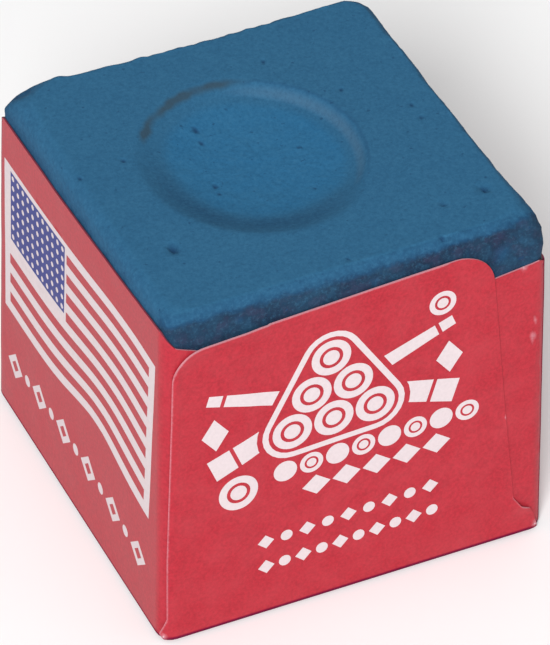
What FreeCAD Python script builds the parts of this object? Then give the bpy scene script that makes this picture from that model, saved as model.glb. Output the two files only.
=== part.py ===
import FreeCAD, Part
import os
from math import radians, tan

# A cue chalk cube: a pressed block of chalk with a shallow round dish in its top, and one printed
# paper label, die-cut as a cross, that is pasted under the block and folded up its four sides.
# The two wings of the cross go up first and their tabs turn round the block's upright edges.
# The front and rear flaps go up last and close over those tabs.
#
# Millimetres. Z is up and the table is z = 0. The origin is under the middle of the block.
# The front flap faces -Y and the higher of the two wings is on the -X side.

Vector = FreeCAD.Vector
Z_AXIS = Vector(0, 0, 1)

# Whole object
OVERALL_WIDTH = 22.2            # over the two wings where they meet the table: 7/8 inch
OVERALL_HEIGHT = 21.4           # table to the top of the chalk
DRAFT_ANGLE = 1.0               # degrees: the pressed block narrows towards its top
PAPER = 0.10                    # label paper
PASTE = 0.04                    # film of paste under the label

# Chalk block
UPRIGHT_RADIUS = 0.7            # the block's four upright edges
TOP_RADIUS = 1.9                # the worn edges round its top

# Dish pressed into the top
DISH_X = -1.13
DISH_Y = -0.35
DISH_RIM_RADIUS = 6.15          # where the wall meets the top, before its edge is rounded
DISH_FLOOR_RADIUS = 5.0         # where the wall meets the floor
DISH_WALL_DEPTH = 0.75
DISH_DEPTH = 1.15               # at the middle of the concave floor
DISH_RIM_ROUNDING = 0.9
DISH_FLOOR_ROUNDING = 1.1

# Label: it was laid on slightly turned and off centre, so its edges run at a slant
LABEL_TURN = 3.3                # degrees
LEFT_WING_HEIGHT = 20.0         # at the middle of the wing's top edge
RIGHT_WING_HEIGHT = 19.0
TAB_LENGTH = 5.0                # from the block's side round onto its front or rear
TAB_TOP_CUT = 20.0              # degrees that a tab's top edge falls away
TAB_FOOT = 0.8                  # clearance under a tab at the block's edge
TAB_FOOT_CUT = 25.0             # degrees that a tab's lower edge rises
FRONT_FLAP_HEIGHT = 19.8
REAR_FLAP_HEIGHT = 19.4
FLAP_ROOT_HALF = 10.5           # half the flap's width at the fold
FLAP_TOP_HALF = 9.0             # half its width at the top
FLAP_LEAN = -1.2                # how far the turned flap's top stands off the middle
FLAP_NEAR_CORNER = 1.3          # radius of the top corner beside the block's edge
FLAP_FAR_CORNER = 2.0           # radius of its other top corner

# Paste pads stop short of the label's edges
PAD_HALF = 9.6
PAD_LOW = 0.8
PAD_HIGH = 17.2

# Derived: how far each surface stands out from the side of the chalk
CHALK_FACE = 0.0
PASTE_FACE = PASTE
WING_FACE = PASTE + PAPER
FLAP_FACE = PASTE + 2 * PAPER
CHALK_BASE = PAPER + PASTE      # the block's underside rests on pasted paper
CHALK_HALF = OVERALL_WIDTH / 2 - WING_FACE
REACH = OVERALL_WIDTH           # longer than anything that has to be cut through
NEAR = 0.001                    # two places closer than this are the same


def half_width(z, stand_off):
    """Half the width, at height z, of the drafted surface that stands off the chalk's side."""
    return CHALK_HALF + stand_off - z * tan(radians(DRAFT_ANGLE))


def polygon_face(points):
    return Part.Face(Part.makePolygon(points + points[:1]))


def prism(points, direction):
    return polygon_face(points).extrude(direction)


def drafted_solid(stand_off, low, high):
    """A square block with four sloping sides and sharp edges."""
    rings = []
    for z in (low, high):
        half = half_width(z, stand_off)
        corners = [(-half, -half), (half, -half), (half, half), (-half, half)]
        rings.append([Vector(x, y, z) for x, y in corners])
    bottom, top = rings
    # Every face is drawn anticlockwise as seen from outside the block.
    faces = [polygon_face(bottom[::-1]), polygon_face(top)]
    for here in range(4):
        after = (here + 1) % 4
        faces.append(polygon_face([bottom[here], bottom[after], top[after], top[here]]))
    return Part.makeSolid(Part.makeShell(faces))


def upright_edges(solid):
    tall = solid.BoundBox.ZLength / 2
    return [edge for edge in solid.Edges if edge.BoundBox.ZLength > tall]


def rounded_block(stand_off, low, high):
    solid = drafted_solid(stand_off, low, high)
    return solid.makeFillet(UPRIGHT_RADIUS + stand_off, upright_edges(solid))


def sleeve(inner, outer):
    """A thin tube all round the block, between two stand-offs from the chalk."""
    outside = rounded_block(outer, 0, OVERALL_HEIGHT)
    inside = rounded_block(inner, -1, OVERALL_HEIGHT + 1)
    return outside.cut(inside)


def quarter(side_x, side_y):
    """The wedge of space in front of one side of the block, out to the diagonals."""
    across_x, across_y = -side_y, side_x
    points = [
        Vector(0, 0, 0),
        Vector((side_x + across_x) * REACH, (side_y + across_y) * REACH, 0),
        Vector((side_x - across_x) * REACH, (side_y - across_y) * REACH, 0),
    ]
    return prism(points, Z_AXIS * REACH)


def outline_along_x(points):
    """A cutter whose outline is given in Y and Z, for the block's -X side."""
    return prism([Vector(-REACH, y, z) for y, z in points], Vector(REACH, 0, 0))


def outline_along_y(points, side):
    """A cutter whose outline is given in X and Z, for the -Y or the +Y side."""
    return prism([Vector(x, 0, z) for x, z in points], Vector(0, side * REACH, 0))


def wing_top(height, y):
    """Height of the -X wing's top edge, which slopes because the label is turned."""
    return height - y * tan(radians(LABEL_TURN))


def make_wing(height):
    """A wing panel on the -X side. The opposite wing is the same panel turned half round."""
    outline = [
        (-REACH, 0),
        (REACH, 0),
        (REACH, wing_top(height, REACH)),
        (-REACH, wing_top(height, -REACH)),
    ]
    paper = sleeve(PASTE_FACE, WING_FACE).common(quarter(-1, 0))
    return paper.common(outline_along_x(outline))


def make_tab(height, side):
    """The tab that a -X wing turns round onto the front (side -1) or the rear (side 1)."""
    edge = -CHALK_HALF
    tip = edge + TAB_LENGTH
    top_at_edge = wing_top(height, side * CHALK_HALF)
    fall = tan(radians(TAB_TOP_CUT))
    rise = tan(radians(TAB_FOOT_CUT))
    outside = edge - 1
    outline = [
        (outside, TAB_FOOT - rise),
        (tip, TAB_FOOT + TAB_LENGTH * rise),
        (tip, top_at_edge - TAB_LENGTH * fall),
        (outside, top_at_edge + fall),
    ]
    paper = sleeve(PASTE_FACE, WING_FACE).common(quarter(0, side))
    return paper.common(outline_along_y(outline, side))


def make_flap(height):
    """The front flap. The rear flap is the same panel turned half round."""
    slope = tan(radians(LABEL_TURN))
    near = FLAP_LEAN - FLAP_TOP_HALF
    far = FLAP_LEAN + FLAP_TOP_HALF
    points = [
        Vector(-FLAP_ROOT_HALF, 0, 0),
        Vector(FLAP_ROOT_HALF, 0, 0),
        Vector(far, 0, height + far * slope),
        Vector(near, 0, height + near * slope),
    ]
    cutter = prism(points, Vector(0, -REACH, 0))
    for corner, radius in ((points[2], FLAP_FAR_CORNER), (points[3], FLAP_NEAR_CORNER)):
        cutter = cutter.makeFillet(radius, edges_through(cutter, corner))
    return sleeve(WING_FACE, FLAP_FACE).common(cutter)


def edges_through(solid, corner):
    """The edges along Y that pass through a corner of an outline given in X and Z."""
    found = []
    for edge in solid.Edges:
        box = edge.BoundBox
        at_corner = abs(box.Center.x - corner.x) < NEAR and abs(box.Center.z - corner.z) < NEAR
        if at_corner and box.YLength > REACH / 2:
            found.append(edge)
    return found


def make_base_panel():
    """The middle of the cross, under the block, as far as the wings and the flaps."""
    middle = rounded_block(PASTE_FACE, 0, PAPER)
    flat_half = CHALK_HALF - UPRIGHT_RADIUS
    depth_half = half_width(PAPER, WING_FACE)
    strip = Part.makeBox(2 * flat_half, 2 * depth_half, PAPER, Vector(-flat_half, -depth_half, 0))
    return middle.fuse(strip).removeSplitter()


def make_paste_film():
    """Five pads of dried paste: under the block, behind each wing and behind each flap."""
    base = Part.makeBox(2 * PAD_HALF, 2 * PAD_HALF, PASTE, Vector(-PAD_HALF, -PAD_HALF, PAPER))
    pads = [base]
    upright = [(-PAD_HALF, PAD_LOW), (PAD_HALF, PAD_LOW), (PAD_HALF, PAD_HIGH), (-PAD_HALF, PAD_HIGH)]
    coat = sleeve(CHALK_FACE, PASTE_FACE)
    wing_pad = coat.common(outline_along_x(upright))
    # Between the tabs the paste is as thick as a tab, so that the flap lies flat over both.
    between = CHALK_HALF - TAB_LENGTH
    middle = [(-between, PAD_LOW), (between, PAD_LOW), (between, PAD_HIGH), (-between, PAD_HIGH)]
    filling = sleeve(CHALK_FACE, WING_FACE).common(outline_along_y(middle, -1))
    flap_pad = coat.common(outline_along_y(upright, -1)).fuse(filling).removeSplitter()
    for pad in (wing_pad, flap_pad):
        pads.append(pad)
        pads.append(half_turn(pad))
    return Part.makeCompound(pads)


def make_chalk():
    block = drafted_solid(CHALK_FACE, CHALK_BASE, OVERALL_HEIGHT)
    rim = [edge for edge in block.Edges if edge.BoundBox.ZMin > OVERALL_HEIGHT - NEAR]
    block = block.makeFillet(TOP_RADIUS, rim)
    block = block.makeFillet(UPRIGHT_RADIUS, upright_edges(block))
    block = block.cut(make_dish_cutter())
    rim_edge = dish_edge(block, OVERALL_HEIGHT)
    block = block.makeFillet(DISH_RIM_ROUNDING, rim_edge)
    return block


def make_dish_cutter():
    """The space above the dish: a sloping wall round a floor that is part of a large sphere."""
    floor_drop = DISH_DEPTH - DISH_WALL_DEPTH
    floor_middle = Vector(0, 0, -DISH_DEPTH)
    floor_edge = Vector(DISH_FLOOR_RADIUS, 0, -DISH_WALL_DEPTH)
    sphere_radius = (DISH_FLOOR_RADIUS ** 2 + floor_drop ** 2) / (2 * floor_drop)
    half_chord = DISH_FLOOR_RADIUS / 2
    sag = sphere_radius - (sphere_radius ** 2 - half_chord ** 2) ** 0.5
    floor_between = Vector(half_chord, 0, -DISH_DEPTH + sag)
    rim = Vector(DISH_RIM_RADIUS, 0, 0)
    above_rim = Vector(DISH_RIM_RADIUS, 0, 1)
    above_middle = Vector(0, 0, 1)
    outline = Part.Wire([
        Part.Arc(floor_middle, floor_between, floor_edge).toShape(),
        Part.makeLine(floor_edge, rim),
        Part.makeLine(rim, above_rim),
        Part.makeLine(above_rim, above_middle),
        Part.makeLine(above_middle, floor_middle),
    ])
    cutter = Part.Face(outline).revolve(Vector(0, 0, 0), Z_AXIS, 360)
    cutter = cutter.makeFillet(DISH_FLOOR_ROUNDING, dish_edge(cutter, -DISH_WALL_DEPTH))
    cutter.translate(Vector(DISH_X, DISH_Y, OVERALL_HEIGHT))
    return cutter


def dish_edge(solid, height):
    """The circular edges of the dish that lie level at one height."""
    found = []
    for edge in solid.Edges:
        box = edge.BoundBox
        level = abs(box.ZMin - height) < NEAR and abs(box.ZMax - height) < NEAR
        if level and edge.isClosed():
            found.append(edge)
    return found


def half_turn(shape):
    turned = shape.copy()
    turned.rotate(Vector(0, 0, 0), Z_AXIS, 180)
    return turned


def make_parts():
    parts = {
        "chalk_block": make_chalk(),
        "paste_film": make_paste_film(),
        "label_base_panel": make_base_panel(),
        "label_left_wing": make_wing(LEFT_WING_HEIGHT),
        "label_left_front_tab": make_tab(LEFT_WING_HEIGHT, -1),
        "label_left_rear_tab": make_tab(LEFT_WING_HEIGHT, 1),
        "label_right_wing": half_turn(make_wing(RIGHT_WING_HEIGHT)),
        "label_right_front_tab": half_turn(make_tab(RIGHT_WING_HEIGHT, 1)),
        "label_right_rear_tab": half_turn(make_tab(RIGHT_WING_HEIGHT, -1)),
        "label_front_flap": make_flap(FRONT_FLAP_HEIGHT),
        "label_rear_flap": half_turn(make_flap(REAR_FLAP_HEIGHT)),
    }
    return parts


os.makedirs("parts", exist_ok=True)
for name, shape in make_parts().items():
    box = shape.optimalBoundingBox()
    print(f"{name}: solids {len(shape.Solids)}, valid {shape.isValid()}, volume {shape.Volume:.3f},",
          f"x {box.XMin:.3f}..{box.XMax:.3f}, y {box.YMin:.3f}..{box.YMax:.3f},",
          f"z {box.ZMin:.3f}..{box.ZMax:.3f}")
    shape.exportStep(f"parts/{name}.step")
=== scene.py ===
from math import acos, atan2, cos, exp, hypot, pi, radians, sin, sqrt, tan

import bpy
import numpy as np
from mathutils import Matrix, Vector, noise
from mathutils.geometry import delaunay_2d_cdt


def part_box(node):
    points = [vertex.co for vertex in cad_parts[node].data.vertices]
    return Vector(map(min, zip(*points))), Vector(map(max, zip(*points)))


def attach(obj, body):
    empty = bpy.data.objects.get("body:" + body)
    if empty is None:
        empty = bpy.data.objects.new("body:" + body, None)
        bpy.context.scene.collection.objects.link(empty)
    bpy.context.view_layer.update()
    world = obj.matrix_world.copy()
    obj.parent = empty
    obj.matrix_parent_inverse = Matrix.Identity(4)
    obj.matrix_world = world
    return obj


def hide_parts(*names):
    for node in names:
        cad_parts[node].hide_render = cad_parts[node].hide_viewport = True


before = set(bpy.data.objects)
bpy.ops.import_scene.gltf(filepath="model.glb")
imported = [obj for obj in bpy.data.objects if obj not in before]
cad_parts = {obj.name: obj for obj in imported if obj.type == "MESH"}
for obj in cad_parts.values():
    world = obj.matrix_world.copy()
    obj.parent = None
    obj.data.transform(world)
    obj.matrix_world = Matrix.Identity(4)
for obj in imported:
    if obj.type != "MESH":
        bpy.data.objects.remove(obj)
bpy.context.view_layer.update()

# A cue chalk cube. The shapes below are worked out in millimetres and scaled once, when a mesh is
# made. The frame is the CAD model's: Z up, the front flap towards -Y, the higher wing towards -X.
MM = 0.001


def in_mm(corners):
    """The corners of a box in millimetres, from metres."""
    return [corner / MM for corner in corners]


# ---------------------------------------------------------------- sizes of the CAD model
CHALK_LOW, CHALK_HIGH = in_mm(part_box("chalk_block"))
HEIGHT = CHALK_HIGH.z
BASE_Z = CHALK_LOW.z
CHALK_HALF = CHALK_HIGH.x
WING_HALF = -in_mm(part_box("label_left_wing"))[0].x
FLAP_HALF = -in_mm(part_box("label_front_flap"))[0].y
DRAFT = radians(1.0)            # the block narrows towards its top
SLOPE = tan(DRAFT)
UPRIGHT_RADIUS = 0.7            # its upright edges

# ---------------------------------------------------------------- the label
PAPER = 0.09                    # thickness of the sheet
FOLD_RADIUS = 0.28              # outside radius of the folds round the base
FOLD_TURN = pi / 2 + DRAFT
FOLD_LENGTH = FOLD_RADIUS * FOLD_TURN
TAB_LENGTH = 4.8                # along the front or rear face, from the block's corner
NOTCH = 0.3                     # the base panel's corners are cut away by this much
CORNER_CUT = 0.8                # a slanting cut parts flap and tab this far past the wing's fold
CORNER_CUT_SLANT = 0.75
OUTLINE_STEP = 0.3              # longest leg of the sheet's outline
PRINT_STEP = 0.8                # longest leg of a printed outline

# The label's materials: three inks, bare paper, and two looks of its cut edge: pale, and dark with
# painted shadow
RED, WHITE, BLUE, PLAIN, CUT, SHADED_EDGE = range(6)

# The four sides in turn: the direction out of the side, and to its right as seen from outside.
FRONT, RIGHT, REAR, LEFT = range(4)
OUT = [Vector((0, -1)), Vector((1, 0)), Vector((0, 1)), Vector((-1, 0))]
ALONG = [Vector((1, 0)), Vector((0, 1)), Vector((-1, 0)), Vector((0, -1))]
SIDE_HALF = [FLAP_HALF, WING_HALF, FLAP_HALF, WING_HALF]
STAND_OFF = [half - CHALK_HALF - BASE_Z * SLOPE for half in SIDE_HALF]


def smooth(low, high, value):
    """0 below low, 1 above high, and an even rise between. With low above high it falls."""
    t = min(max((value - low) / (high - low), 0.0), 1.0)
    return t * t * (3 - 2 * t)


def bump(distance, width):
    """1 at no distance, falling evenly to 0 within about twice the width."""
    return exp(-(distance / width) ** 2)


def reach(side, z):
    """How far from the middle of the flat sheet a point lies that ends up at height z on a side."""
    straight = SIDE_HALF[side] - FOLD_RADIUS
    arc_top = FOLD_RADIUS * (1 - cos(FOLD_TURN))
    if z < arc_top:
        return straight + FOLD_RADIUS * acos(1 - z / FOLD_RADIUS)
    return straight + FOLD_LENGTH + (z - arc_top) / sin(FOLD_TURN)


def to_sheet(side, along, z):
    """The point of the flat sheet that ends up at a place on a side."""
    return ALONG[side] * along + OUT[side] * reach(side, z)


def fold(side, point):
    """Folds a point of the flat sheet up a side.

    Gives its place, its outward normal, how far it has turned round the fold at the base, and how
    far round the block's upright edge.
    """
    along = point.dot(ALONG[side])
    distance = point.dot(OUT[side])
    straight = SIDE_HALF[side] - FOLD_RADIUS
    turn = min(max((distance - straight) / FOLD_RADIUS, 0.0), FOLD_TURN)
    beyond = max(distance - straight - FOLD_LENGTH, 0.0)
    out = min(distance, straight) + FOLD_RADIUS * sin(turn) + beyond * cos(turn)
    up = FOLD_RADIUS * (1 - cos(turn)) + beyond * sin(turn)
    # The same again, round the block's upright edge
    radius = UPRIGHT_RADIUS + STAND_OFF[side]
    flat = SIDE_HALF[side] - up * SLOPE - radius
    yaw = min(max((abs(along) - flat) / radius, 0.0), pi / 2)
    past = max(abs(along) - flat - radius * pi / 2, 0.0)
    sign = 1 if along > 0 else -1
    if yaw > 0:
        out = out - radius * (1 - cos(yaw)) - past
        along = sign * (flat + radius * sin(yaw))
    level = OUT[side] * cos(yaw) + ALONG[side] * (sign * sin(yaw))
    ground = OUT[side] * out + ALONG[side] * along
    place = Vector((ground.x, ground.y, up))
    normal = Vector((level.x * sin(turn), level.y * sin(turn), -cos(turn)))
    return place, normal, turn, yaw


def panel_of(point):
    """Which side a point of the flat sheet folds up on, or None for the base panel."""
    p, q = point
    past_wing_fold = abs(p) - WING_HALF + FOLD_RADIUS
    past_flap_fold = abs(q) - FLAP_HALF + FOLD_RADIUS
    beside_flap = past_wing_fold < CORNER_CUT and past_flap_fold > CORNER_CUT_SLANT * past_wing_fold
    if past_flap_fold > 0 and beside_flap:
        return FRONT if q < 0 else REAR
    if past_wing_fold > 0:
        return LEFT if p < 0 else RIGHT
    return None


# ---------------------------------------------------------------- outline of the die-cut sheet
def rounded(points, radii, steps=10):
    """A path with some of its corners rounded: radii holds one radius for each point."""
    path = []
    count = len(points)
    for i, (point, radius) in enumerate(zip(points, radii)):
        if radius == 0 or i in (0, count - 1):
            path.append(point)
            continue
        before = (points[i - 1] - point).normalized()
        after = (points[i + 1] - point).normalized()
        half_angle = before.angle(after) / 2
        run = radius / tan(half_angle)
        middle = point + (before + after).normalized() * (radius / sin(half_angle))
        start = point + before * run - middle
        sweep = start.angle_signed(point + after * run - middle)
        for k in range(steps + 1):
            path.append(middle + Matrix.Rotation(-sweep * k / steps, 2) @ start)
    return path


def subdivided(path, step):
    """A closed path with extra points, so that no leg is longer than step and it can bend."""
    fine = []
    for point, following in zip(path, path[1:] + path[:1]):
        leg = following - point
        parts = max(int(leg.length / step) + 1, 1)
        fine += [point + leg * (k / parts) for k in range(parts)]
    return fine


def flap_outline():
    """(along, z) from the left root of a flap, over its top, to its right root."""
    points = [
        (-WING_HALF + NOTCH, 0.0),
        (-11.28, 0.42),
        (-11.0, 1.05),
        (-10.8, 1.6),
        (-10.76, 5.6),
        (-10.44, 15.0),
        (-10.33, 19.1),
        (-4.0, 19.48),
        (2.0, 19.83),
        (7.35, 20.12),
        (7.63, 17.4),
        (7.98, 13.8),
        (8.38, 9.7),
        (8.69, 6.9),
        (9.02, 4.0),
        (9.14, 2.75),
        (9.59, 2.1),
        (10.15, 1.76),
        (10.42, 1.2),
        (10.66, 0.37),
        (WING_HALF - NOTCH, 0.0),
    ]
    radii = [0, 0.15, 0.3, 0.3, 0, 0, 1.9, 0, 0, 2.1, 0, 0, 0, 0, 0, 0, 0.4, 0.15, 0, 0, 0]
    return rounded([Vector(point) for point in points], radii)


def wing_outline(top, left_fall, right_fall):
    """(along, z) of a wing with its two tabs, from its left root round to its right root.

    top is the wing's upper edge from left to right; the falls are the slopes of the tabs' tops.
    """
    edge = WING_HALF + 0.15     # along the sheet, just past the middle of the block's upright edge
    tip = edge + TAB_LENGTH
    foot = (WING_HALF + 0.1, 0.75)
    tip_foot = 3.0              # height of the tab's lower corner
    first, last = top[0], top[-1]
    points = [
        (-WING_HALF + NOTCH, 0.0),
        (-foot[0], foot[1]),
        (-tip, tip_foot),
        (-tip, first[1] - left_fall * (tip + first[0])),
    ]
    points += top
    points += [
        (tip, last[1] - right_fall * (tip - last[0])),
        (tip, tip_foot),
        foot,
        (WING_HALF - NOTCH, 0.0),
    ]
    radii = [0, 0, 0.5, 0.5] + [0.4] * len(top) + [0.5, 0.5, 0, 0]
    return rounded([Vector(point) for point in points], radii)


# Upper edges of the two wings: (along, z)
LEFT_TOP = [
    (-10.9, 18.85),
    (-9.9, 19.5),
    (-3.0, 19.63),
    (2.0, 19.88),
    (7.0, 20.2),
    (10.15, 20.42),
    (11.05, 19.5),
]
RIGHT_TOP = [
    (-10.95, 18.34),
    (-10.4, 17.95),
    (-9.0, 17.95),
    (-7.4, 18.4),
    (3.0, 19.1),
    (11.0, 19.5),
]
OUTLINES = {
    FRONT: flap_outline(),
    RIGHT: wing_outline(RIGHT_TOP, 0.12, 0.5),
    REAR: flap_outline(),
    LEFT: wing_outline(LEFT_TOP, 0.6, 0.42),
}


def sheet_outline():
    """The outline of the whole cross, laid flat."""
    path = []
    for side in (FRONT, RIGHT, REAR, LEFT):
        path += [to_sheet(side, along, z) for along, z in OUTLINES[side]]
    return subdivided(path, OUTLINE_STEP)


# ---------------------------------------------------------------- what is printed on the label
PRINT_TURN = radians(2.6)       # the front's print runs as crooked as the label
PRINT_PIVOT = (0, 11)
DOT = 0.34                      # radius of the dots in the rows of small shapes


def disc(x, z, radius, steps=28):
    return [(x + radius * cos(2 * pi * k / steps), z + radius * sin(2 * pi * k / steps))
            for k in range(steps)]


def diamond(x, z, half_width, half_height):
    return [(x - half_width, z), (x, z - half_height), (x + half_width, z), (x, z + half_height)]


def turned(points, angle, about=(0, 0)):
    """Points turned about a place."""
    c, s = cos(angle), sin(angle)
    ax, az = about
    return [(ax + (x - ax) * c - (z - az) * s, az + (x - ax) * s + (z - az) * c) for x, z in points]


def cue(length, butt, tip):
    """A cue that lies level, with thin gaps at its wrap and ferrule, as separate outlines.

    butt and tip are its widths at its two ends.
    """
    pieces = []
    stretches = ((0.0, 0.09), (0.105, 0.27), (0.285, 0.31), (0.325, 0.93), (0.945, 1.0))
    for start, end in stretches:
        low = butt + (tip - butt) * start
        high = butt + (tip - butt) * end
        x0 = (start - 0.5) * length
        x1 = (end - 0.5) * length
        pieces.append([(x0, -low / 2), (x1, -high / 2), (x1, high / 2), (x0, low / 2)])
    return pieces


def rounded_triangle(centre, side, offset, steps=8):
    """The outline at an even offset round an upright triangle whose sides have that length."""
    x, z = centre
    rise = side * sqrt(3) / 2
    corners = ((x - side / 2, z, 150), (x + side / 2, z, 270), (x, z + rise, 30))
    path = []
    for cx, cz, first in corners:
        for k in range(steps + 1):
            angle = radians(first + 120 * k / steps)
            path.append((cx + offset * cos(angle), cz + offset * sin(angle)))
    return path


def ringed_ball(x, z, radius):
    """A white ball with a red ring inside it."""
    return [
        (disc(x, z, radius, 36), WHITE),
        (disc(x, z, 0.6 * radius, 24), RED),
        (disc(x, z, 0.42 * radius, 20), WHITE),
    ]


def emblem():
    """A rack of balls on crossed cues, over rows of balls and diamonds: (outline, ink)."""
    marks = []
    middle_x, middle_z = -1.35, 13.6
    cue_angle = 19              # degrees
    for angle in (cue_angle, 180 - cue_angle):
        for piece in cue(14.6, 1.5, 0.65):
            crossed = turned(piece, radians(angle))
            marks.append(([(middle_x + x, middle_z + z) for x, z in crossed], WHITE))
    # The rack of six balls, in a triangle of three outlines
    ball, pitch, rows = 1.11, 2.34, 3
    foot_z = 12.1
    for offset, ink in ((2.0, RED), (1.68, WHITE), (1.34, RED)):
        marks.append((rounded_triangle((middle_x, foot_z), pitch * (rows - 1), offset), ink))
    for row in range(rows):
        balls = rows - row
        for k in range(balls):
            x = middle_x + (k - (balls - 1) / 2) * pitch
            z = foot_z + row * pitch * sqrt(3) / 2
            marks += ringed_ball(x, z, ball)
    for side in (-1, 1):
        marks.append((diamond(middle_x + side * 6.6, middle_z, 0.75, 1.05), WHITE))
    # A row of balls and a row of diamonds under it
    marks += ringed_ball(-6.85, 9.25, ball)
    row_x, row_z, small_ball = 1.0, 9.6, 0.66
    for k in range(8):
        x = row_x + (k - 3.5) * 1.48
        if k % 2:
            marks += ringed_ball(x, row_z, small_ball)
        else:
            marks.append((disc(x, row_z, small_ball, 28), WHITE))
    for k in range(5):
        marks.append((diamond(0.95 + (k - 2) * 1.72, 8.0, 0.8, 0.66), WHITE))
    # Two rows of small diamonds and dots
    for z, count in ((5.2, 9), (3.5, 10)):
        gap = 10.6 / count
        for k in range(count):
            x = -0.75 + (k - (count - 1) / 2) * gap
            if k % 2:
                marks.append((disc(x, z, DOT, 16), WHITE))
            else:
                marks.append((diamond(x, z, 0.47, 0.45), WHITE))
    marks += ringed_ball(4.95, 17.3, 0.76)
    return [(turned(points, PRINT_TURN, PRINT_PIVOT), ink) for points, ink in marks]


def on_banner(u, v):
    """A place on the waving banner: u from left to right, v from top to bottom."""
    crest = 0.86 - 0.22 * v
    width = 0.38 - 0.16 * v
    lift = (0.86 + 0.3 * v) * bump(u - crest, width)
    return -9.7 + u * (19.4 - 0.5 * v), 17.04 - 9.94 * v + lift


def banner_patch(u0, u1, v0, v1, steps=24):
    """The outline of a part of the banner."""
    top = [on_banner(u0 + (u1 - u0) * k / steps, v0) for k in range(steps + 1)]
    bottom = [on_banner(u0 + (u1 - u0) * k / steps, v1) for k in range(steps + 1)]
    return top + bottom[::-1]


def banner():
    """A waving striped banner with a dotted field, over a row of lozenges: (outline, ink)."""
    marks = [(banner_patch(0, 1, 0, 1, 32), WHITE)]
    border = 0.036
    bands = 15
    for k in range(1, bands, 2):
        marks.append((banner_patch(border, 1 - border, k / bands, (k + 1) / bands), RED))
    field_end = 0.412
    marks.append((banner_patch(border, field_end + 0.012, 0, 8 / bands), WHITE))
    top, bottom = 0.035, 7.4 / bands
    marks.append((banner_patch(border + 0.006, field_end, top, bottom), BLUE))
    columns, rows = 11, 7
    for row in range(rows):
        for column in range(columns):
            u = border + 0.022 + (field_end - border - 0.038) * column / (columns - 1)
            v = top + 0.033 + (bottom - top - 0.066) * row / (rows - 1)
            x, z = on_banner(u, v)
            marks.append((disc(x, z, 0.165, 8), WHITE))
    # A curved row of lozenges and dots
    for k in range(11):
        x = -8.35 + k * 1.63
        z = 3.7 + 0.62 * (1 - (x / 8.4) ** 2)
        if k % 2:
            marks.append((disc(x, z, DOT, 16), WHITE))
        else:
            marks.append((diamond(x, z, 0.95, 0.85), WHITE))
            marks.append((diamond(x, z, 0.42, 0.38), RED))
    return marks


PRINTS = {FRONT: emblem, RIGHT: banner, REAR: emblem, LEFT: banner}


def signed_area(points):
    """The area in an outline, negative if it runs clockwise."""
    return sum(a[0] * b[1] - a[1] * b[0] for a, b in zip(points, points[1:] + points[:1])) / 2


def print_outlines():
    """Every printed shape on the flat sheet, the upper ones last: (points, ink)."""
    shapes = []
    for side, draw in PRINTS.items():
        for points, ink in draw():
            placed = [to_sheet(side, along, z) for along, z in points]
            if signed_area(placed) < 0:
                placed.reverse()
            shapes.append((subdivided(placed, PRINT_STEP), ink))
    return shapes


# ---------------------------------------------------------------- folding and thickening the sheet
def just_inside(outline, distance):
    """Points a short way inside an outline, one for each of its points."""
    turn = 1 if signed_area([tuple(point) for point in outline]) > 0 else -1
    points = []
    befores = outline[-1:] + outline[:-1]
    afters = outline[1:] + outline[:1]
    for before, point, after in zip(befores, outline, afters):
        leg = (after - before).normalized() * turn
        points.append((point.x - leg.y * distance, point.y + leg.x * distance))
    return points


def sheet_points(outline):
    """Places where the sheet needs a vertex to bend: an even grid, and closer rows along folds."""
    points = just_inside(outline, 0.12)
    span = WING_HALF + HEIGHT
    step = 0.5
    count = int(2 * span / step)
    even = [-span + step * k for k in range(count + 1)]
    for p in even:
        for q in even:
            points.append((p, q))
    # Rows along the folds round the base, and a little way past them
    fold_rows = 6
    for half, axis in ((WING_HALF, 0), (FLAP_HALF, 1)):
        for k in range(fold_rows + 3):
            row = half - FOLD_RADIUS + FOLD_LENGTH * k / fold_rows
            for place in even:
                for sign in (-1, 1):
                    pair = (sign * row, place / 2)
                    points.append(pair if axis == 0 else pair[::-1])
    # Rows along the block's upright edges
    for k in range(14):
        row = 9.8 + 0.15 * k
        for place in even:
            if abs(place) > WING_HALF:
                for sign in (-1, 1):
                    points.append((place, sign * row))
                    points.append((sign * row, place))
    return points


def distance_to_path(points, path):
    """The distance of each point from a closed path, as an array."""
    points = np.array([tuple(p) for p in points])
    start = np.array([tuple(p) for p in path])
    leg = np.roll(start, -1, axis=0) - start
    length = (leg ** 2).sum(1)
    best = np.full(len(points), 1e9)
    for a, d, l in zip(start, leg, length):
        if l == 0:
            continue
        t = np.clip(((points - a) @ d) / l, 0, 1)
        gap = np.hypot(*(points - a - t[:, None] * d).T)
        best = np.minimum(best, gap)
    return best


def pucker(x, up):
    """The ridge across the root of the front flap, at its right: 1 on its middle, 0 off it."""
    run, fall = 0.78, 0.62      # the ridge's direction
    across = x * fall + up * run
    length = x * run - up * fall
    return bump(across, 0.24) * bump(length, 0.75)


def relief(side, along, place, edge_distance):
    """How far the paper stands off its neat folded place, in millimetres."""
    z = place.z
    away = 0.022 * noise.noise(place / 4.0) + 0.007 * noise.noise(place / 1.3 + Vector((9, 0, 0)))
    away *= smooth(0.2, 2.0, z)
    if side in (FRONT, REAR):
        # The flap sinks between the tabs, and its left edge stands off the tab under it.
        sink = 0.05
        lift = 0.07 if along < -5 else 0.01
        away -= sink * (1 - smooth(5.4, 6.4, abs(along))) * smooth(1.5, 4.0, z)
        away += lift * (1 - smooth(0.0, 0.6, edge_distance)) * smooth(0.3, 1.5, z)
        if side == FRONT:
            away += 0.2 * pucker(along - 9.6, z - 2.1)
    return away


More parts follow.
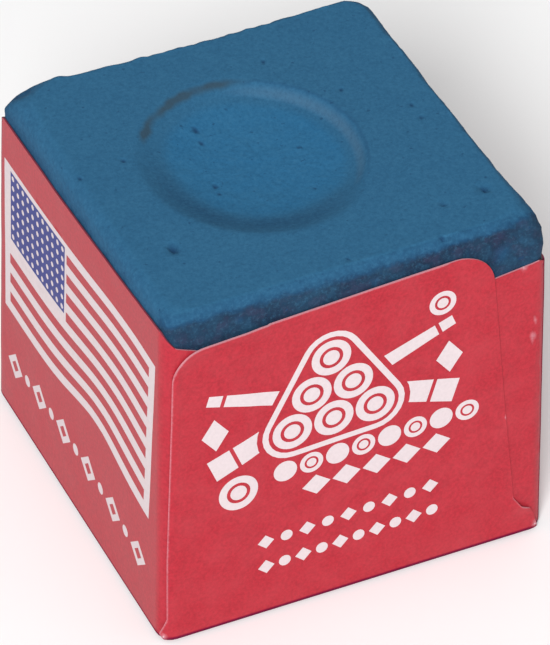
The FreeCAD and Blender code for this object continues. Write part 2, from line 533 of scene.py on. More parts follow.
FLAP_RIGHT = 7.0                # a flap's right edge lies past this place along it
SCUFFS = [
    # side, along, z, radius
    (RIGHT, -11.28, 14.6, 0.13),
    (RIGHT, -11.42, 13.42, 0.2),
    (RIGHT, -11.45, 12.9, 0.11),
    (RIGHT, -11.9, 18.2, 0.2),
    (FRONT, 8.5, 8.6, 0.09),
    (FRONT, 8.6, 14.4, 0.08),
    (FRONT, -10.98, 0.33, 0.2),
    (FRONT, -11.2, 0.6, 0.14),
    (FRONT, 10.55, 0.45, 0.22),
    (REAR, -11.15, 0.25, 0.25),
    (REAR, 4.2, 7.4, 0.14),
]


def scuff_of(side, point):
    """How far the print is scuffed away at a point of the sheet, from 0 to 1."""
    most = 0.0
    for scuffed, along, z, radius in SCUFFS:
        if side == scuffed:
            gap = (point - to_sheet(side, along, z)).length
            most = max(most, bump(gap, radius))
    return most


def in_crease(side, point):
    """Whether a point lies along the puckered root of a flap, at its right."""
    at_root = 12.9 < point.dot(OUT[side]) < 14.0
    return side in (FRONT, REAR) and at_root and point.dot(ALONG[side]) > FLAP_RIGHT


def edge_ink(point):
    """The cut edge is pale, but painted dark with shadow on top of the wings, and inked over on a
    flap's right.
    """
    side = panel_of(point)
    if side is None or in_crease(side, point):
        return CUT
    along = point.dot(ALONG[side])
    if side in (LEFT, RIGHT):
        return SHADED_EDGE if abs(along) < 11.0 else CUT
    return RED if along > FLAP_RIGHT else CUT


def fold_shade_of(side, along, z, turn, yaw):
    """How much painted shade the folds get: round the base, and along two of the upright edges."""
    darkened = max(0.95 * smooth(0.2, 0.6, turn) * smooth(0.42, 0.24, z), 0.1 * sin(2 * yaw))
    # Painted shade along the upright edges where the wings turn away from the light.
    if side in (LEFT, RIGHT) and along < 0:
        darkened = max(darkened, 0.65 * smooth(0.02, 0.35, yaw) * smooth(1.0, 0.7, yaw))
    return darkened


def inked_triangles(outline):
    """The flat sheet's points, and its triangles with the uppermost ink on each."""
    shapes = print_outlines()
    loops = [outline] + [points for points, _ in shapes]
    inks = [RED] + [ink for _, ink in shapes]
    vertices, faces = [], []
    for loop in loops:
        first = len(vertices)
        vertices += [tuple(point) for point in loop]
        faces.append(list(range(first, len(vertices))))
    vertices += sheet_points(outline)
    flat, _, triangles, _, _, inside = delaunay_2d_cdt(
        [Vector(v) for v in vertices], [], faces, 1, 1e-5)
    kept = [(face, marks) for face, marks in zip(triangles, inside) if 0 in marks]
    used = sorted({v for face, _ in kept for v in face})
    number = {old: new for new, old in enumerate(used)}
    inked = [([number[v] for v in face], inks[max(marks)]) for face, marks in kept]
    return [flat[v] for v in used], inked


def folded(point, gap):
    """A point of the flat sheet in its place on the cube, at `gap` from the sheet's cut edge.

    Gives its place, its outward normal, how pale the ink is there (rubbed off, and along the cut edge
    also a painted highlight), and how much painted shade it gets along the folds.
    """
    side = panel_of(point)
    edge_rub_and_highlight = 0.2                  # how pale the ink is right at the cut edge: partly rubbed off, partly a painted highlight
    scuff = fold_shade_amount = 0.0
    if side is None:
        place = Vector((point.x, point.y, 0))
        normal = Vector((0, 0, -1))
    else:
        along = point.dot(ALONG[side])
        place, normal, turn, yaw = fold(side, point)
        place = place + normal * relief(side, along, place, gap)
        # The crease and the left part of a flap get a stronger pale edge: more painted highlight
        # where the edge catches the light.
        if in_crease(side, point):
            edge_rub_and_highlight = 0.5
        elif side in (FRONT, REAR) and along < 5:
            edge_rub_and_highlight = 0.8
        scuff = scuff_of(side, point)
        fold_shade_amount = fold_shade_of(side, along, place.z, turn, yaw) * (1 - scuff)
    at_edge = edge_rub_and_highlight * (1 - smooth(0.0, 0.14, gap))
    return place, normal, max(at_edge, scuff), fold_shade_amount


def make_label(materials):
    """The folded sheet as one closed skin, with a material for each ink and for bare paper."""
    outline = sheet_outline()
    flat, inked = inked_triangles(outline)
    outer, inner, rub_and_highlight, fold_shade = [], [], [], []
    for point, gap in zip(flat, distance_to_path(flat, outline)):
        place, normal, rubbed, fold_shade_amount = folded(point, gap)
        outer.append(place)
        inner.append(place - normal * PAPER)
        rub_and_highlight.append(rubbed)
        fold_shade.append(fold_shade_amount)
    total = len(flat)
    polygons, indices = [], []
    edge_uses = {}
    for (a, b, c), ink in inked:
        polygons.append((a, c, b))
        indices.append(ink)
        polygons.append((a + total, b + total, c + total))
        indices.append(PLAIN)
        for edge in ((a, b), (b, c), (c, a)):
            edge_uses.setdefault(tuple(sorted(edge)), []).append(edge)
    # An edge that only one triangle uses is on the sheet's outline, and gets the cut edge's face.
    for uses in edge_uses.values():
        if len(uses) == 1:
            a, b = uses[0]
            polygons.append((a, b, b + total, a + total))
            indices.append(edge_ink(flat[a]))
    mesh = bpy.data.meshes.new("label")
    mesh.from_pydata([v * MM for v in outer + inner], [], polygons)
    for material in materials:
        mesh.materials.append(material)
    mesh.polygons.foreach_set("material_index", indices)
    # The first attribute holds rubbed ink and a painted highlight along the cut edges, the second
    # painted shade along the folds.
    for name, values in (("rub_and_highlight", rub_and_highlight), ("fold_shade", fold_shade)):
        mesh.attributes.new(name, "FLOAT", "POINT").data.foreach_set("value", values + values)
    mesh.shade_smooth()
    mesh.set_sharp_from_angle(angle=radians(50))
    mesh.validate()
    label = bpy.data.objects.new("label", mesh)
    bpy.context.collection.objects.link(label)
    return label


# ---------------------------------------------------------------- the chalk
DIRECTIONS = 620                # vertices round each ring
TOP_HALF = CHALK_HALF - (HEIGHT - BASE_Z) * SLOPE
FOOT = 0.3                      # chamfer round the block's underside

# The dish
DISH = Vector((-1.02, -0.33))   # its middle
DISH_RIM = 5.85                 # radius of its rim where its wall is steep
BOWL_RIM = 6.2                  # radius of its rim where it is worn gentle
DISH_REACH = 6.9                # outermost ring of the dish
DISH_ROUND = (0.975, 1.04)      # the dish is a little longer from front to back
DISH_WALL = 0.68                # depth at the foot of its wall
DISH_DEPTH = 1.0
DISH_FLOOR = 5.2                # radius where its hollow floor would meet its wall
DISH_SLOPE = 1.25               # of its steep wall
RIM_ROUNDING = 0.07             # of the steep wall's upper edge
WALL_ROUNDING = 0.05            # of its foot, and of the gentle wall's upper edge
STEEP_TOWARDS = radians(17)     # the wall is steep at the right, and opposite it is worn gentle
SHADED_TOWARDS = radians(236)  # on this side its gentle wall faces away from the light and gets painted shade

# The shoulder is round at the front and on the left. At the back and on the right it is worn to a
# steep bevel, and the corners of the top are worn more than the upright edges below them. The back
# is worn most in its middle, and its left corner is worn to a flat chamfer.
# Left, right, front and back: how far in the shoulder starts, how deep it is, and its form, from
# 1 for round to 2 for a straight bevel.
SHOULDER_INSETS = (0.75, 1.04, 0.42, 0.95)
SHOULDER_DEPTHS = (0.8, 2.0, 0.55, 1.6)
SHOULDER_POWERS = (1.0, 1.6, 1.0, 1.6)
# Radii of the front left, front right, back right and back left corners
TOP_CORNERS = (1.3, 2.4, 1.2, 2.0)
UPRIGHT_CORNERS = (0.75, 0.8, 0.9, 0.9)
BACK_WEAR = 0.042               # share by which the middle of the back is worn in
CHAMFER = 0.4                   # added to the shoulder's depth and form at the worn corner
CHAMFER_TOWARDS = radians(135)
CHAMFER_WIDTH = 0.046           # radians


def steepness(angle):
    """1 where the dish's wall is steep, 0 where it is worn into a gentle slope."""
    return smooth(0.2, 0.88, cos(angle - STEEP_TOWARDS))


def dish_height(r, steep):
    """Height of the dish's surface below the flat top, at radius r."""
    sag = (DISH_DEPTH - DISH_WALL) * (1 - (r / DISH_FLOOR) ** 2)
    wall = (r - DISH_RIM) * DISH_SLOPE
    rim = -RIM_ROUNDING * np.logaddexp(0.0, -wall / RIM_ROUNDING)
    floor = -DISH_WALL - sag
    pressed = WALL_ROUNDING * np.logaddexp(rim / WALL_ROUNDING, floor / WALL_ROUNDING)
    bowl = -DISH_DEPTH * (1 - (r / BOWL_RIM) ** 3)
    worn = -WALL_ROUNDING * np.logaddexp(0.0, -bowl / WALL_ROUNDING)
    return pressed * steep + worn * (1 - steep)


def ray_length(angles, left, right, front, back, radii):
    """Distance from the middle to a rounded rectangle, in each direction.

    radii are those of the front left, front right, back right and back left corners.
    """
    lengths = []
    for angle in angles:
        c, s = cos(angle), sin(angle)
        half_x = right if c > 0 else left
        half_y = back if s > 0 else front
        if s > 0:
            r = radii[2] if c > 0 else radii[3]
        else:
            r = radii[1] if c > 0 else radii[0]
        c, s = abs(c), abs(s)
        if s * half_x <= c * (half_y - r):
            lengths.append(half_x / c)
        elif c * half_y <= s * (half_x - r):
            lengths.append(half_y / s)
        else:
            x, y = half_x - r, half_y - r
            along = c * x + s * y
            lengths.append(along + sqrt(max(along ** 2 - (x * x + y * y - r * r), 0.0)))
    return np.array(lengths)


def by_side(angle, left, right, front, back):
    """Blends four values, one for each side of the block, by direction."""
    c, s = cos(angle), sin(angle)
    weights = (max(-c, 0) ** 4, max(c, 0) ** 4, max(-s, 0) ** 4, max(s, 0) ** 4)
    values = (left, right, front, back)
    return sum(w * v for w, v in zip(weights, values)) / sum(weights)


def chalk_rings():
    """The block as rings from the middle of the dish out over the shoulder and down its sides.

    Each ring is its points in plan, their heights, and whether it is on the top or on a side.
    """
    angles = np.linspace(0, 2 * pi, DIRECTIONS, endpoint=False)
    ray = np.stack([np.cos(angles), np.sin(angles)], axis=1)
    inner = ray_length(angles, *[TOP_HALF - inset for inset in SHOULDER_INSETS], TOP_CORNERS)
    inner *= 1 - BACK_WEAR * np.maximum(ray[:, 1], 0) ** 3
    outer = ray_length(angles, *[TOP_HALF] * 4, UPRIGHT_CORNERS)
    chamfer = CHAMFER * np.array([bump(angle - CHAMFER_TOWARDS, CHAMFER_WIDTH) for angle in angles])
    shoulder = np.array([by_side(angle, *SHOULDER_DEPTHS) for angle in angles]) + chamfer
    power = np.array([by_side(angle, *SHOULDER_POWERS) for angle in angles]) + chamfer
    rings = []

    def add(xy, z, zone):
        rings.append((xy, np.broadcast_to(z, DIRECTIONS), zone))

    middle = np.array(DISH)
    oval = ray * np.array(DISH_ROUND)
    steep = np.array([steepness(angle) for angle in angles])
    for r in [*np.linspace(0.06, 4.6, 38), *np.linspace(4.7, DISH_REACH, 34)]:
        add(middle + oval * r, dish_height(r, steep) + HEIGHT, "top")
    rim = middle + oval * DISH_REACH
    edge = ray * inner[:, None]
    for t in np.linspace(0, 1, 27)[1:]:
        add(rim * (1 - t) + edge * t, HEIGHT, "top")
    for turn in np.linspace(0, pi / 2, 24)[1:]:
        length = inner + (outer - inner) * sin(turn) ** power
        add(ray * length[:, None], HEIGHT - shoulder * (1 - cos(turn) ** power), "side")
    for drop in [*np.linspace(0.08, 3.4, 30), 5.5, 10.0]:
        z = HEIGHT - shoulder - drop
        grow = (HEIGHT - z) * SLOPE
        add(ray * (outer + grow * outer / TOP_HALF)[:, None], z, "side")
    base = outer * (CHALK_HALF / TOP_HALF)
    add(ray * base[:, None], BASE_Z + FOOT, "side")
    add(ray * (base - FOOT)[:, None], BASE_Z, "side")
    return rings


PIT_LENGTH = 1.5                # the pits are this much longer from front to back than across
PITS = [
    # x, y, radius, depth
    (-7.95, -5.55, 0.30, 0.28),
    (8.45, -7.65, 0.24, 0.30),
    (5.95, -7.9, 0.17, 0.14),
    (4.75, -10.35, 0.14, 0.10),
    (-2.62, 3.5, 0.20, 0.10),
    (-2.74, 2.55, 0.14, 0.06),
    (-3.5, -0.87, 0.17, 0.10),
    (-3.59, -1.58, 0.12, 0.06),
    (1.03, -3.2, 0.09, 0.06),
    (8.1, 0.05, 0.13, 0.10),
    (8.1, -1.1, 0.12, 0.10),
    (5.3, 2.7, 0.12, 0.10),
    (2.6, 6.5, 0.12, 0.10),
    (-7.4, 1.9, 0.13, 0.12),
    (-10.0, 1.5, 0.12, 0.10),
    (-0.3, -9.9, 0.11, 0.08),
]


def make_chalk(material):
    """The block: smooth rings, each point of which is then moved and marked by its wear and by
    painted light and shade.
    """
    rings = chalk_rings()
    count = len(rings)
    xy = np.array([ring[0] for ring in rings])
    z = np.array([ring[1] for ring in rings])
    grid = np.concatenate([xy, z[:, :, None]], axis=2)
    # Normals of the smooth block, from its neighbouring rings and directions
    out = np.gradient(grid, axis=0)
    around = np.roll(grid, -1, axis=1) - np.roll(grid, 1, axis=1)
    normals = np.cross(out, around)
    normals /= np.maximum(np.linalg.norm(normals, axis=2, keepdims=True), 1e-9)
    worn = np.zeros((count, DIRECTIONS, 5))
    for i, (_, _, zone) in enumerate(rings):
        for j in range(DIRECTIONS):
            worn[i, j] = weather(Vector(grid[i, j]), normals[i, j][2], zone)
    grid = grid + normals * worn[:, :, :1]
    points = [tuple(p * MM) for p in grid.reshape(-1, 3)]
    faces = []
    for i in range(count - 1):
        for j in range(DIRECTIONS):
            k = (j + 1) % DIRECTIONS
            a, b = i * DIRECTIONS + j, i * DIRECTIONS + k
            faces.append((a, a + DIRECTIONS, b + DIRECTIONS, b))
    faces.append(tuple(range(DIRECTIONS)))
    last = (count - 1) * DIRECTIONS
    faces.append(tuple(last + j for j in reversed(range(DIRECTIONS))))
    mesh = bpy.data.meshes.new("chalk")
    mesh.from_pydata(points, [], faces)
    mesh.materials.append(material)
    for k, name in enumerate(("dust_and_shading", "stain", "pit", "polish"), 1):
        mesh.attributes.new(name, "FLOAT", "POINT").data.foreach_set("value", worn[:, :, k].ravel())
    mesh.shade_smooth()
    chalk = bpy.data.objects.new("chalk", mesh)
    bpy.context.collection.objects.link(chalk)
    return chalk


CHIPPED_X = 4.4                 # from here to its right the front edge is chipped and bare
DUSTY_SPOTS = [
    # x, z, radius and strength of the dusty patches on the front's bare band
    (8.1, 19.35, 0.55, 0.5),
    (0.9, 20.0, 0.3, 0.45),
    (-6.6, 20.1, 0.25, 0.4),
]


def blended(first, second, share):
    """A list of values on the way from a first list to a second."""
    return [a + (b - a) * share for a, b in zip(first, second)]


def coating(place, upward, ragged):
    """How much dust coats a place near the shoulder: 0 bare, 0.5 rubbed, 1 evenly dusty; less where
    painted shade darkens the sloping shoulder.
    """
    x, y, z = place
    chipped = smooth(CHIPPED_X - 0.5, CHIPPED_X + 0.6, x)
    # For each side: the heights where the bare band and the rubbed band end, how dusty those two
    # bands are, and how much painted shade darkens the dust above them where the shoulder slopes
    # towards the light.
    front = (20.68 + 0.3 * chipped, 21.0 - 0.1 * chipped, 0.0, 0.5, 0.45)
    left = (20.2, 20.85, 0.62, 0.8, 0.5)
    others = (20.35, 21.12, 0.3, 0.6, 0.2)
    side = blended(others, left, smooth(-0.8, 0.8, -x - y))
    low, high, least, middle, shoulder_shade = blended(side, front, smooth(-9.2, -10.2, y))
    spots = 0.0
    for spot_x, spot_z, radius, strength in DUSTY_SPOTS:
        spots += strength * bump(hypot(x - spot_x, z + 0.4 * ragged - spot_z), radius)
    spots *= smooth(-9.5, -10.3, y)
    z += ragged
    lower = least + (middle - least) * smooth(low - 0.35, low + 0.3, z)
    upper = (1 - middle) * smooth(high - 0.4, high + 0.3, z)
    # Painted shade: the dust is darkened where the shoulder slopes towards the light, to even out the
    # light it catches.
    upper *= 1 - shoulder_shade * smooth(1.0, 0.8, upward)
    return max(lower + upper, spots + 0.3 * ragged)


def dish_wear(place, r, angle):
    """Wear in the dish: how far it moves out, its dust with painted light and shade, stain, pits and
    polish.

    Its floor is rubbed, its steep wall on the lit side is paler, partly from pale powder and partly
    as painted light, its gentle wall that faces away from the light gets painted shade, a dark line
    runs round the steep wall's rim, and the rim is stained along the back left.
    """
    steep = steepness(angle)
    shaded = (1 - steep) * smooth(-0.2, 0.8, cos(angle - SHADED_TOWARDS))
    rubbed = 1 - smooth(4.4 - 0.9 * shaded, 5.2 - 0.5 * shaded, r)
    moved = 0.03 * rubbed * noise.noise(place / 0.7 + Vector((0, 5, 0)))
    moved += 0.02 * rubbed * noise.noise(place / 0.28)
    # Paler on the lit steep wall: partly pale powder, partly painted light.
    powder_and_light = 0.34 * steep * bump(r - 5.5, 0.24)
    # Painted shade on the gentle wall that faces away from the light.
    painted_shade = 0.25 * shaded * bump(r - 5.0, 0.9)
    ragged = r + 0.1 * noise.noise(place / 0.5)
    line = 0.4 * steep * bump(ragged - DISH_RIM - 0.06, 0.12)
    arc = smooth(0.95, 1.6, angle) * (1 - smooth(2.45, 2.65, angle))
    uneven = 0.85 + 0.6 * noise.noise(place / 0.9)
    stain = arc * bump(ragged - DISH_RIM - 0.08, 0.25) * uneven
    return moved, 1 + powder_and_light - painted_shade, stain, line, rubbed


def shoulder_wear(place, upward):
    """Wear round the block: how far it moves out, and its dust, darkened with painted shade where the
    shoulder slopes.

    The edges crumble: worst at the front right, least at the left.
    """
    x, y, z = place
    chipped = smooth(CHIPPED_X - 1.0, CHIPPED_X + 1.5, x) * smooth(-8.5, -10.0, y)
    at_back = smooth(8.0, 9.5, y)
    rough = max(0.3, chipped, 0.7 * at_back, 0.5 * smooth(8.5, 10.0, x))
    live = smooth(1.0, 0.8, upward) * smooth(HEIGHT - 4.2, HEIGHT - 3.2, z)
    moved = live * rough * 0.10 * noise.fractal(place / 1.3, 0.8, 2.2, 3)
    moved -= live * chipped * 0.16 * max(noise.noise(place / 0.55 + Vector((4, 4, 4))) - 0.1, 0)
    moved += live * at_back * 0.12 * max(noise.noise(Vector((x / 0.9, 0, 0))), 0)
    mottle = noise.fractal(place / 0.6 + Vector((2, 0, 0)), 0.7, 2.1, 4)
    return moved, coating(place, upward, 0.2 * mottle)


def pits_at(place):
    """How deep a place is sunk by the pits near it, and how far it lies in one, from 0 to 1."""
    sunk = deepest = 0.0
    for x, y, radius, depth in PITS:
        gap = hypot(place.x - x, (place.y - y) / PIT_LENGTH)
        if gap < 3 * radius:
            ragged = radius * (1 + 0.35 * noise.noise(place / 0.16))
            hole = bump(gap, ragged * 0.8)
            sunk += depth * hole
            deepest = max(deepest, hole)
    return sunk, deepest


def weather(place, upward, zone):
    """Wear at a place on the chalk: how far it moves out, its dust with painted light and shade,
    stain, pits and polish.
    """
    dish_x = (place.x - DISH.x) / DISH_ROUND[0]
    dish_y = (place.y - DISH.y) / DISH_ROUND[1]
    r = hypot(dish_x, dish_y)
    moved = 0.012 * noise.noise(place / 2.6)
    moved += 0.006 * noise.noise(place / 0.35 + Vector((3, 1, 7)))
    dust_and_shading = 1.0
    stain = pit = polish = 0.0
    if zone == "side":
        crumbled, dust_and_shading = shoulder_wear(place, upward)
        moved += crumbled
    elif r < DISH_REACH + 0.1:
        rubbed, dust_and_shading, stain, pit, polish = dish_wear(place, r, atan2(dish_y, dish_x))
        moved += rubbed
    if upward > 0.5:
        sunk, hole = pits_at(place)
        moved -= sunk
        pit = max(pit, hole)
    return moved, dust_and_shading, stain, pit, polish


# ---------------------------------------------------------------- materials
def new_material(name):
    """A material and its main shader."""
    material = bpy.data.materials.new(name)
    material.use_nodes = True
    return material, material.node_tree.nodes["Principled BSDF"]


def node(material, kind, **settings):
    """A new node: each setting is the value of the input of that name, or a property."""
    made = material.node_tree.nodes.new(kind)
    for key, value in settings.items():
        if key in made.inputs:
            made.inputs[key].default_value = value
        else:
            setattr(made, key, value)
    return made


def link(material, start, end):
    material.node_tree.links.new(start, end)


def noise_texture(material, size, detail=3.0, roughness=0.55):
    """A noise whose largest features are about `size` millimetres across."""
    coordinates = node(material, "ShaderNodeTexCoord")
    texture = node(material, "ShaderNodeTexNoise", Scale=1 / (size * MM), Detail=detail)
    texture.inputs["Roughness"].default_value = roughness
    link(material, coordinates.outputs["Object"], texture.inputs["Vector"])
    return texture.outputs["Fac"]


def spread(material, value, low, high, to_low=0.0, to_high=1.0):
    """Maps a value from low..high to a new range, clamped."""
    ranged = node(material, "ShaderNodeMapRange")
    ranged.inputs["From Min"].default_value = low
    ranged.inputs["From Max"].default_value = high
    ranged.inputs["To Min"].default_value = to_low
    ranged.inputs["To Max"].default_value = to_high
    link(material, value, ranged.inputs["Value"])
    return ranged.outputs["Result"]


def blend_colours(material, factor, first, second):
    """A mix of two colours, each a tuple or another node's output."""
    mix = node(material, "ShaderNodeMix", data_type="RGBA")
    link(material, factor, mix.inputs[0])
    for value, socket in ((first, mix.inputs[6]), (second, mix.inputs[7])):
        if isinstance(value, tuple):
            socket.default_value = (*value, 1)
        else:
            link(material, value, socket)
    return mix.outputs[2]


def calculate(material, operation, first, second):
    """The sum or product, as the operation says, of two nodes' outputs."""
    result = node(material, "ShaderNodeMath", operation=operation)
    link(material, first, result.inputs[0])
    link(material, second, result.inputs[1])
    return result.outputs[0]


def attribute(material, name):
    """A value that the mesh holds at each of its points."""
    return node(material, "ShaderNodeAttribute", attribute_name=name).outputs["Fac"]


def add_bump(material, shader, height, distance, strength=1.0):
    """Relief too fine for the mesh, `distance` millimetres high."""
    made = node(material, "ShaderNodeBump", Strength=strength, Distance=distance * MM)
    link(material, height, made.inputs["Height"])
    link(material, made.outputs["Normal"], shader.inputs["Normal"])


def make_chalk_material():
    """Pressed chalk: dusty on top, saturated where it is rubbed and navy where it is bare."""
    material, shader = new_material("pressed_chalk")
    dusty, rubbed = (0.0245, 0.111, 0.214), (0.0105, 0.048, 0.112)
    navy, purple, teal = (0.010, 0.020, 0.045), (0.026, 0.026, 0.058), (0.014, 0.045, 0.09)
    powder_and_light, polished, cloud = (0.05, 0.13, 0.22), (0.020, 0.124, 0.255), (0.034, 0.14, 0.25)
    pale_grain, dark_grain, speck = (0.055, 0.18, 0.3), (0.009, 0.05, 0.11), (0.01, 0.045, 0.11)
    stained, hollow = (0.034, 0.052, 0.064), (0.01, 0.042, 0.105)
    # This attribute carries real dust and painted light and shade: paler on the dish's lit wall,
    # darker on its shaded wall and on the sloping shoulder.
    dust_and_shading = attribute(material, "dust_and_shading")
    flecks = noise_texture(material, 0.3, 6.0, 0.7)
    patches = noise_texture(material, 0.8, 5.0, 0.62)
    fleck_height = spread(material, flecks, 0.3, 0.7, -0.11, 0.11)
    dust_and_shading_edge = calculate(material, "ADD", dust_and_shading, fleck_height)
    colour = blend_colours(material, spread(material, patches, 0.49, 0.62, 0.0, 0.8), navy, purple)
    colour = blend_colours(material, spread(material, patches, 0.47, 0.36, 0.0, 0.75), colour, teal)
    colour = blend_colours(material, spread(material, dust_and_shading_edge, 0.08, 0.55), colour, rubbed)
    colour = blend_colours(material, spread(material, dust_and_shading_edge, 0.5, 0.98), colour, dusty)
    # The lit steep wall: partly pale powder, partly painted light.
    colour = blend_colours(material, spread(material, dust_and_shading, 1.05, 1.35), colour, powder_and_light)
    polish = spread(material, attribute(material, "polish"), 0.0, 1.0, 0.0, 0.8)
    colour = blend_colours(material, polish, colour, polished)
    clouds = noise_texture(material, 2.2, 4.0, 0.6)
    colour = blend_colours(material, spread(material, clouds, 0.35, 0.75, 0.0, 0.25), colour, cloud)
    grain = noise_texture(material, 0.19, 5.0, 0.75)
    colour = blend_colours(material, spread(material, grain, 0.5, 0.8, 0.0, 0.45), colour, pale_grain)
    colour = blend_colours(material, spread(material, grain, 0.5, 0.2, 0.0, 0.55), colour, dark_grain)
    specks = noise_texture(material, 0.35, 2.0, 0.5)
    colour = blend_colours(material, spread(material, specks, 0.68, 0.76, 0.0, 0.6), colour, speck)
    stain = spread(material, attribute(material, "stain"), 0.1, 0.9, 0.0, 0.7)
    colour = blend_colours(material, stain, colour, stained)
    pits = spread(material, attribute(material, "pit"), 0.1, 0.9, 0.0, 0.9)
    colour = blend_colours(material, pits, colour, hollow)
    link(material, colour, shader.inputs["Base Color"])
    link(material, spread(material, grain, 0.3, 0.7, 0.85, 1.0), shader.inputs["Roughness"])
    shader.inputs["Specular IOR Level"].default_value = 0.12
    shader.inputs["Diffuse Roughness"].default_value = 0.1
    lumps = noise_texture(material, 0.22, 6.0, 0.75)
    add_bump(material, shader, lumps, 0.05, 0.6)
    return material


def make_ink_material(name, colour, roughness, shade=0.72):
    """Ink on smooth paper, or the paper itself, with a faint grain and clouds.

    It is worn pale where it is rubbed, and pale along its cut edges, partly from wear and partly as a
    painted highlight; it is torn down to the paper where it is scuffed, and darkened along the folds
    with painted shade. shade is how much of the colour is left in the dark of its grain.
    """
    material, shader = new_material(name)
    # The pale colour is for rubbed ink and for a painted highlight on the cut edges; the dark one is
    # painted shade for the folds.
    pale_rub_and_highlight, torn, fold_shade_colour = (0.62, 0.33, 0.38), (0.72, 0.62, 0.65), (0.11, 0.008, 0.04)
    pale = 0.62
    deeper = tuple(c * shade for c in colour)
    paler = tuple(c + (pale - c) * 0.05 for c in colour)
    grain = noise_texture(material, 0.18, 4.0, 0.65)
    clouds = noise_texture(material, 1.8, 3.0, 0.6)
    worn = noise_texture(material, 0.12, 5.0, 0.75)
    final = blend_colours(material, spread(material, grain, 0.35, 0.65), deeper, colour)
    cloudy = spread(material, clouds, 0.35, 0.75, 0.0, 0.4)
    final = blend_colours(material, cloudy, final, paler)
    # Pale where the ink is rubbed, and along the cut edges partly a painted highlight.
    rub_and_highlight = attribute(material, "rub_and_highlight")
    uneven = spread(material, worn, 0.35, 0.58, 0.45, 1.0)
    rubbed = calculate(material, "MULTIPLY", spread(material, rub_and_highlight, 0.2, 1.0, 0.0, 0.75), uneven)
    final = blend_colours(material, rubbed, final, pale_rub_and_highlight)
    final = blend_colours(material, spread(material, rub_and_highlight, 0.82, 1.0, 0.0, 0.85), final, torn)
    # Painted shade along the folds, which also takes the gloss away.
    fold_shade = attribute(material, "fold_shade")
    final = blend_colours(material, spread(material, fold_shade, 0.05, 0.9, 0.0, 0.9), final, fold_shade_colour)
    link(material, final, shader.inputs["Base Color"])
    sheen = spread(material, clouds, 0.3, 0.7, roughness - 0.04, roughness + 0.05)
    link(material, sheen, shader.inputs["Roughness"])
    link(material, spread(material, fold_shade, 0.05, 0.5, 0.2, 0.0), shader.inputs["Specular IOR Level"])
    fibres = noise_texture(material, 0.2, 5.0, 0.6)
    add_bump(material, shader, fibres, 0.012, 0.3)
    return material


def make_paste_material():
    """Dried paste: off-white, with faint flow marks."""
    material, shader = new_material("dried_paste")
    flow = noise_texture(material, 1.4, 4.0)
    colour = blend_colours(material, flow, (0.72, 0.68, 0.56), (0.85, 0.82, 0.73))
    link(material, colour, shader.inputs["Base Color"])
    link(material, spread(material, flow, 0.3, 0.7, 0.4, 0.6), shader.inputs["Roughness"])
    add_bump(material, shader, flow, 0.02, 0.4)
    return material


def make_floor():
    """A plain pale floor, staged so that it isn't part of the object."""
    mesh = bpy.data.meshes.new("floor")
    half = 2.0                      # metres
    z = -0.03 * MM                  # just clear of the label's base
    corners = [(-half, -half, z), (half, -half, z), (half, half, z), (-half, half, z)]
    mesh.from_pydata(corners, [], [(0, 1, 2, 3)])
    floor = bpy.data.objects.new("floor", mesh)
    bpy.context.collection.objects.link(floor)
    material, shader = new_material("floor")
    shader.inputs["Base Color"].default_value = (0.95, 0.95, 0.95, 1)
    shader.inputs["Roughness"].default_value = 0.7
    mesh.materials.append(material)


# ---------------------------------------------------------------- light and camera
LIGHT_TARGET = Vector((0, 0, 10))


def make_area_light(name, place, size, power):
    """A square soft light, placed and sized in millimetres, that faces the cube."""
    data = bpy.data.lights.new(name, "AREA")
    data.size = size * MM
    data.energy = power
    light = bpy.data.objects.new(name, data)
    bpy.context.collection.objects.link(light)
    light.location = Vector(place) * MM
    towards = LIGHT_TARGET - Vector(place)
    light.rotation_euler = towards.to_track_quat("-Z", "Y").to_euler()


def make_light():
    """An even pale surrounding and one large soft light from the front left."""
    world = bpy.data.worlds.new("studio")
    bpy.context.scene.world = world
    world.use_nodes = True
    background = world.node_tree.nodes["Background"]
    background.inputs["Color"].default_value = (1, 1, 1, 1)
    background.inputs["Strength"].default_value = 0.5
    make_area_light("key", (-330, -495, 470), 210, 5.4)
    bpy.context.scene.view_settings.view_transform = "Standard"


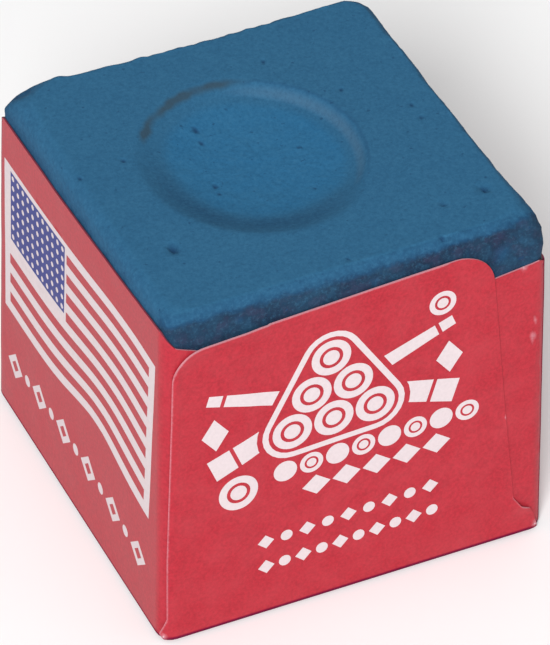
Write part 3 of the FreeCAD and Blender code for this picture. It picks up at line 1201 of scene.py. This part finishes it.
CAMERA_AZIMUTH = radians(-25.405)
CAMERA_ELEVATION = radians(40.363)
CAMERA_ROLL = radians(0.806)
CAMERA_DISTANCE = 289.04
CAMERA_TARGET = Vector((0, 0, 11))
CAMERA_AIM = (0.346, -1.202)    # how far the aim is right of and above the target
CAMERA_LENS = 307.0


def make_camera():
    """A long lens that looks down on the cube's front left corner."""
    azimuth, elevation = CAMERA_AZIMUTH, CAMERA_ELEVATION
    back = Vector((sin(azimuth) * cos(elevation), -cos(azimuth) * cos(elevation), sin(elevation)))
    right = Vector((cos(azimuth), sin(azimuth), 0))
    up = back.cross(right)
    turned_right = right * cos(CAMERA_ROLL) + up * sin(CAMERA_ROLL)
    turned_up = up * cos(CAMERA_ROLL) - right * sin(CAMERA_ROLL)
    data = bpy.data.cameras.new("camera")
    data.sensor_width = 36
    data.lens = CAMERA_LENS
    data.clip_start = 0.01
    camera = bpy.data.objects.new("camera", data)
    bpy.context.collection.objects.link(camera)
    aim = CAMERA_TARGET + turned_right * CAMERA_AIM[0] + turned_up * CAMERA_AIM[1]
    camera.location = (aim + back * CAMERA_DISTANCE) * MM
    camera.rotation_euler = Matrix((turned_right, turned_up, back)).transposed().to_euler()
    bpy.context.scene.camera = camera


# ---------------------------------------------------------------- putting it together
LABEL_NODES = [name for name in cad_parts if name.startswith("label_")]

make_camera()
make_light()
make_floor()

# In the order of RED, WHITE, BLUE, PLAIN, CUT and the cut edge dark with painted shadow
inks = [
    make_ink_material("red_ink", (0.45, 0.019, 0.035), 0.4),
    make_ink_material("bare_print", (0.65, 0.558, 0.575), 0.48, 0.92),
    make_ink_material("blue_ink", (0.005, 0.014, 0.207), 0.4),
    make_ink_material("paper", (0.60, 0.50, 0.48), 0.7, 0.9),
    make_ink_material("cut_paper", (0.62, 0.24, 0.28), 0.6, 0.85),
    # Painted shadow on the wings' top cut edges, where they stand off the chalk.
    make_ink_material("shaded_edge_paper", (0.22, 0.035, 0.06), 0.6, 0.85),
]
label = make_label(inks)
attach(label, "root")
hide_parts(*LABEL_NODES)

chalk = make_chalk(make_chalk_material())
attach(chalk, "root")
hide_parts("chalk_block")

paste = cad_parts["paste_film"]
paste.data.materials.clear()
paste.data.materials.append(make_paste_material())
